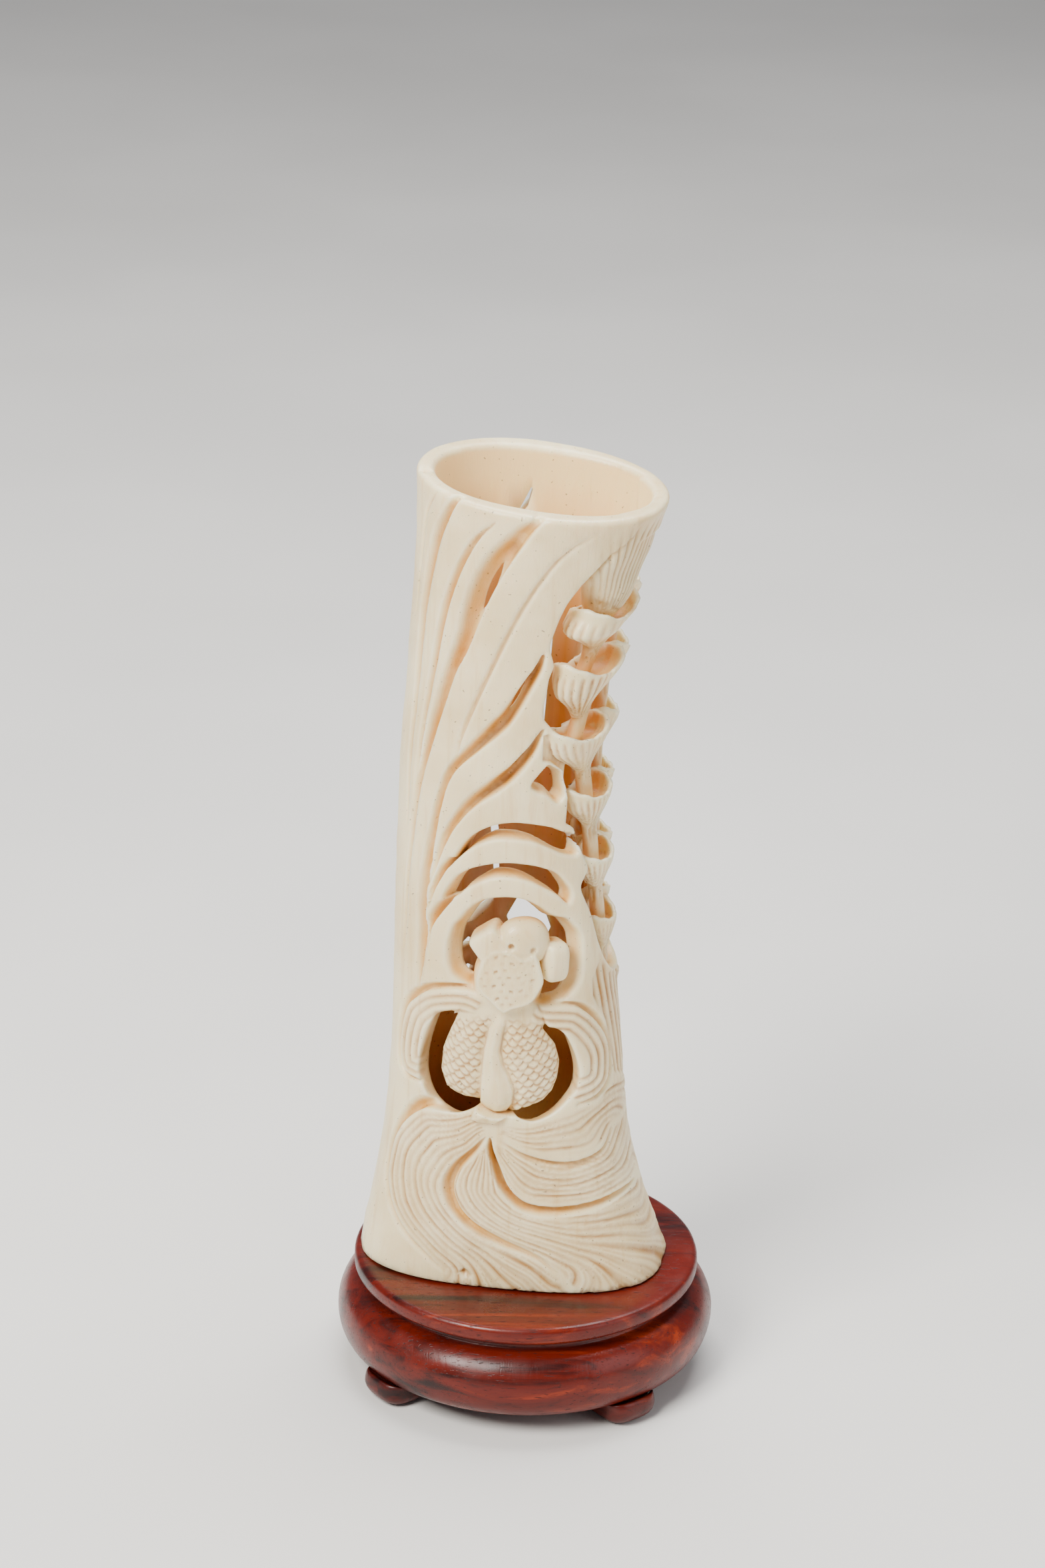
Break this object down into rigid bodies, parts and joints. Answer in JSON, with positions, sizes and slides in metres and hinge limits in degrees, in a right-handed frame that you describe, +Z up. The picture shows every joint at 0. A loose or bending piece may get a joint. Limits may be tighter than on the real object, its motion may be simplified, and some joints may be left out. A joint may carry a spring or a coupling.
{
  "type": "carved tusk ornament",
  "caption": "Hollow tusk section with openwork carving of a fish, arches, long leaves and bell flowers, standing on a round turned wooden stand with scroll feet.",
  "frame": {"origin": "centre of the round stand, on the ground plane under the feet", "axes": "+Z up along the tusk, the carved front faces -Y, +X to the right of someone looking at the front"},
  "size_m": [0.07, 0.07, 0.1755],
  "materials": {
    "bone": "polished cream bone, satin, orange-ochre stain left in the recesses",
    "stand_wood": "dark red-brown rosewood, turned and polished",
    "foot_wood": "dark red-brown rosewood, polished"
  },
  "bodies": {
    "root": {"carved_tusk": "bone", "stand": "stand_wood", "foot_1": "foot_wood", "foot_2": "foot_wood", "foot_3": "foot_wood", "foot_4": "foot_wood"}
  },
  "joints": []
}
